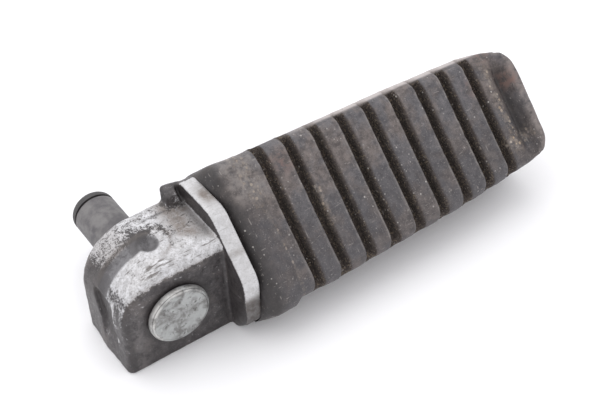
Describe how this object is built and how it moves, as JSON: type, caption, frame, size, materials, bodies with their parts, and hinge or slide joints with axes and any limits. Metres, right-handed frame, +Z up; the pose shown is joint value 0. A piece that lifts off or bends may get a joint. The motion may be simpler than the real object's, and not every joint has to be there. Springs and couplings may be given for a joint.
{
  "type": "motorcycle foot peg",
  "caption": "Folding rider's foot peg: a cast arm that turns on a headed pivot pin, with a bolted-on ribbed rubber tread pad.",
  "frame": {"origin": "on the knuckle's flat base, straight below the pivot pin's axis and midway across the knuckle's bearing width as measured from the pin", "axes": "+Z up from the base, +X along the peg from the knuckle to the tip, +Y along the pivot pin away from its head. The tread faces up and forward, half way between +Z and -Y"},
  "size_m": [0.1254, 0.0596, 0.0393],
  "materials": {
    "cast_arm": "cast, black paint worn to bright metal on top and on the flange's rim",
    "pin_steel": "satin, dull with fine pitting",
    "tread_rubber": "matt, dusty, worn on the ribs",
    "insert_steel": "plain pressed steel",
    "bolt_steel": "dull zinc plate"
  },
  "bodies": {
    "pin": {"pivot_pin": "pin_steel"},
    "arm": {"peg_arm": "cast_arm", "rubber_pad": "tread_rubber", "pad_insert_plate": "insert_steel", "weld_nut_inner": "insert_steel", "weld_nut_outer": "insert_steel", "pad_bolt_inner": "bolt_steel", "pad_bolt_outer": "bolt_steel", "flat_washer_inner": "bolt_steel", "flat_washer_outer": "bolt_steel", "spring_washer_inner": "bolt_steel", "spring_washer_outer": "bolt_steel"}
  },
  "joints": [
    {"name": "fold", "type": "hinge", "parent": "pin", "child": "arm", "pos_m": [0, 0, 0.0138], "axis": [0, -1, 0], "range_deg": [0, 80]}
  ]
}
